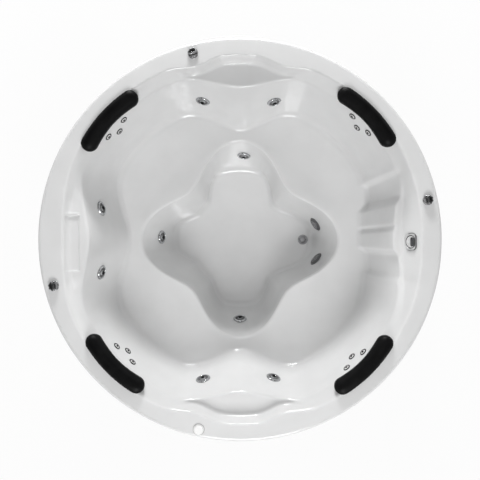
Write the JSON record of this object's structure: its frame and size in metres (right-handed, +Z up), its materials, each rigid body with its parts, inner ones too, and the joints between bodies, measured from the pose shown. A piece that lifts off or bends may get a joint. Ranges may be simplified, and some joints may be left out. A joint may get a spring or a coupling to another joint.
{
  "type": "hot tub",
  "caption": "Round drop-in acrylic hot tub with moulded seats round a four-lobed footwell, headrests, water jets, rim controls, support frame, pump and pipework.",
  "frame": {"origin": "on the floor, under the middle of the round rim", "axes": "+Z up, +X towards the side with the overflow, +Y towards the image's top"},
  "size_m": [1.9994, 1.9988, 0.93],
  "materials": {
    "acrylic": "polished moulded acrylic",
    "cushion": "soft skinned foam",
    "chrome": "polished",
    "nozzle": "moulded",
    "grille": "moulded",
    "button": "moulded",
    "collar": "moulded",
    "frame": "zinc coated",
    "foot": "moulded",
    "water": "extruded",
    "air": "extruded",
    "volute": "moulded",
    "motor": "painted"
  },
  "bodies": {
    "tub": {"shell": "acrylic", "support_frame": "frame", "water_main": "water", "air_main": "air", "pump_wet_end": "volute", "pump_motor": "motor", "suction_line": "water", "waste_line": "air", "waste_flange": "chrome", "overflow_cover": "chrome", "button_collar": "collar", "suction_cover_north": "grille", "suction_cover_south": "grille", "pillow_ne": "cushion", "pillow_nw": "cushion", "pillow_sw": "cushion", "pillow_se": "cushion", "neck_jet_ne_1": "chrome", "neck_jet_ne_2": "chrome", "neck_jet_ne_3": "chrome", "neck_jet_nw_1": "chrome", "neck_jet_nw_2": "chrome", "neck_jet_nw_3": "chrome", "neck_jet_se_1": "chrome", "neck_jet_se_2": "chrome", "neck_jet_se_3": "chrome", "neck_jet_sw_1": "chrome", "neck_jet_sw_2": "chrome", "neck_jet_sw_3": "chrome", "levelling_foot_1": "foot", "levelling_foot_2": "foot", "levelling_foot_3": "foot", "levelling_foot_4": "foot", "levelling_foot_5": "foot", "levelling_foot_6": "foot"},
    "back_jet_north_left_bezel": {"back_jet_north_left_bezel": "chrome"},
    "back_jet_north_left_nozzle": {"back_jet_north_left_nozzle": "nozzle"},
    "back_jet_north_right_bezel": {"back_jet_north_right_bezel": "chrome"},
    "back_jet_north_right_nozzle": {"back_jet_north_right_nozzle": "nozzle"},
    "back_jet_south_left_bezel": {"back_jet_south_left_bezel": "chrome"},
    "back_jet_south_left_nozzle": {"back_jet_south_left_nozzle": "nozzle"},
    "back_jet_south_right_bezel": {"back_jet_south_right_bezel": "chrome"},
    "back_jet_south_right_nozzle": {"back_jet_south_right_nozzle": "nozzle"},
    "back_jet_west_upper_bezel": {"back_jet_west_upper_bezel": "chrome"},
    "back_jet_west_upper_nozzle": {"back_jet_west_upper_nozzle": "nozzle"},
    "back_jet_west_lower_bezel": {"back_jet_west_lower_bezel": "chrome"},
    "back_jet_west_lower_nozzle": {"back_jet_west_lower_nozzle": "nozzle"},
    "foot_jet_north_bezel": {"foot_jet_north_bezel": "chrome"},
    "foot_jet_north_nozzle": {"foot_jet_north_nozzle": "nozzle"},
    "foot_jet_south_bezel": {"foot_jet_south_bezel": "chrome"},
    "foot_jet_south_nozzle": {"foot_jet_south_nozzle": "nozzle"},
    "foot_jet_west_bezel": {"foot_jet_west_bezel": "chrome"},
    "foot_jet_west_nozzle": {"foot_jet_west_nozzle": "nozzle"},
    "air_knob_north": {"air_knob_north": "chrome"},
    "air_knob_east": {"air_knob_east": "chrome"},
    "air_knob_west": {"air_knob_west": "chrome"},
    "button_cap": {"button_cap": "button"},
    "overflow_knob": {"overflow_knob": "chrome"},
    "waste_plug": {"waste_plug": "chrome"}
  },
  "joints": [
    {"name": "back_jet_north_left_bezel_turn", "type": "hinge", "parent": "tub", "child": "back_jet_north_left_bezel", "pos_m": [-0.19461, 0.72893, 0.63512], "axis": [-0.2218, -0.9216, 0.3186], "range_deg": [0, 90]},
    {"name": "back_jet_north_left_nozzle_tilt", "type": "hinge", "parent": "back_jet_north_left_bezel", "child": "back_jet_north_left_nozzle", "pos_m": [-0.19417, 0.73078, 0.63448], "axis": [0.8207, 0, 0.5713], "range_deg": [-15, 15]},
    {"name": "back_jet_north_right_bezel_turn", "type": "hinge", "parent": "tub", "child": "back_jet_north_right_bezel", "pos_m": [0.17864, 0.72475, 0.63512], "axis": [0.2558, -0.9114, 0.3223], "range_deg": [0, 90]},
    {"name": "back_jet_north_right_nozzle_tilt", "type": "hinge", "parent": "back_jet_north_right_bezel", "child": "back_jet_north_right_nozzle", "pos_m": [0.17812, 0.72657, 0.63447], "axis": [0.7833, 0, -0.6217], "range_deg": [-15, 15]},
    {"name": "back_jet_south_left_bezel_turn", "type": "hinge", "parent": "tub", "child": "back_jet_south_left_bezel", "pos_m": [-0.19277, -0.73223, 0.64592], "axis": [-0.2216, 0.921, 0.3204], "range_deg": [0, 90]},
    {"name": "back_jet_south_left_nozzle_tilt", "type": "hinge", "parent": "back_jet_south_left_bezel", "child": "back_jet_south_left_nozzle", "pos_m": [-0.19232, -0.73408, 0.64528], "axis": [0.8225, 0, 0.5688], "range_deg": [-15, 15]},
    {"name": "back_jet_south_right_bezel_turn", "type": "hinge", "parent": "tub", "child": "back_jet_south_right_bezel", "pos_m": [0.17499, -0.72627, 0.64231], "axis": [0.2592, 0.9097, 0.3243], "range_deg": [0, 90]},
    {"name": "back_jet_south_right_nozzle_tilt", "type": "hinge", "parent": "back_jet_south_right_bezel", "child": "back_jet_south_right_nozzle", "pos_m": [0.17447, -0.72809, 0.64167], "axis": [0.7812, 0, -0.6243], "range_deg": [-15, 15]},
    {"name": "back_jet_west_upper_bezel_turn", "type": "hinge", "parent": "tub", "child": "back_jet_west_upper_bezel", "pos_m": [-0.71899, 0.16004, 0.69854], "axis": [0.9164, 0.2431, 0.318], "range_deg": [0, 90]},
    {"name": "back_jet_west_upper_nozzle_tilt", "type": "hinge", "parent": "back_jet_west_upper_bezel", "child": "back_jet_west_upper_nozzle", "pos_m": [-0.72082, 0.15955, 0.6979], "axis": [0.3279, 0, -0.9447], "range_deg": [-15, 15]},
    {"name": "back_jet_west_lower_bezel_turn", "type": "hinge", "parent": "tub", "child": "back_jet_west_lower_bezel", "pos_m": [-0.71988, -0.16949, 0.69399], "axis": [0.9186, -0.2356, 0.3173], "range_deg": [0, 90]},
    {"name": "back_jet_west_lower_nozzle_tilt", "type": "hinge", "parent": "back_jet_west_lower_bezel", "child": "back_jet_west_lower_nozzle", "pos_m": [-0.72172, -0.16902, 0.69336], "axis": [0.3264, 0, -0.9452], "range_deg": [-15, 15]},
    {"name": "foot_jet_north_bezel_turn", "type": "hinge", "parent": "tub", "child": "foot_jet_north_bezel", "pos_m": [0.02228, 0.47445, 0.30598], "axis": [-0.1066, -0.9405, 0.3227], "range_deg": [0, 90]},
    {"name": "foot_jet_north_nozzle_tilt", "type": "hinge", "parent": "foot_jet_north_bezel", "child": "foot_jet_north_nozzle", "pos_m": [0.02249, 0.47633, 0.30534], "axis": [0.9495, 0, 0.3137], "range_deg": [-15, 15]},
    {"name": "foot_jet_south_bezel_turn", "type": "hinge", "parent": "tub", "child": "foot_jet_south_bezel", "pos_m": [0, -0.45054, 0.2816], "axis": [0, 0.9172, 0.3983], "range_deg": [0, 90]},
    {"name": "foot_jet_south_nozzle_tilt", "type": "hinge", "parent": "foot_jet_south_bezel", "child": "foot_jet_south_nozzle", "pos_m": [0, -0.45238, 0.2808], "axis": [1, 0, 0], "range_deg": [-15, 15]},
    {"name": "foot_jet_west_bezel_turn", "type": "hinge", "parent": "tub", "child": "foot_jet_west_bezel", "pos_m": [-0.44523, 0.01394, 0.27812], "axis": [0.9098, -0.065, 0.4098], "range_deg": [0, 90]},
    {"name": "foot_jet_west_nozzle_tilt", "type": "hinge", "parent": "foot_jet_west_bezel", "child": "foot_jet_west_nozzle", "pos_m": [-0.44705, 0.01407, 0.2773], "axis": [0.4107, 0, -0.9118], "range_deg": [-15, 15]},
    {"name": "air_knob_north_turn", "type": "hinge", "parent": "tub", "child": "air_knob_north", "pos_m": [-0.23255, 0.91903, 0.9], "axis": [0, 0, 1], "range_deg": [0, 180]},
    {"name": "air_knob_east_turn", "type": "hinge", "parent": "tub", "child": "air_knob_east", "pos_m": [0.92763, 0.19548, 0.9], "axis": [0, 0, 1], "range_deg": [0, 180]},
    {"name": "air_knob_west_turn", "type": "hinge", "parent": "tub", "child": "air_knob_west", "pos_m": [-0.91984, -0.22934, 0.9], "axis": [0, 0, 1], "range_deg": [0, 180]},
    {"name": "button_press", "type": "slide", "parent": "tub", "child": "button_cap", "axis": [0, 0, -1], "range_m": [0, 0.004], "stiffness_N_per_m": 400, "springref_m": -0.002},
    {"name": "overflow_knob_turn", "type": "hinge", "parent": "tub", "child": "overflow_knob", "pos_m": [0.85833, -0.01197, 0.84347], "axis": [-0.7994, 0.0021, 0.6008], "range_deg": [0, 135]},
    {"name": "waste_plug_lift", "type": "slide", "parent": "tub", "child": "waste_plug", "axis": [0, 0, 1], "range_m": [0, 0.012]}
  ],
  "couplings": [
    {"joint": "waste_plug_lift", "follows": "overflow_knob_turn", "m_per_rad": 0.005}
  ]
}
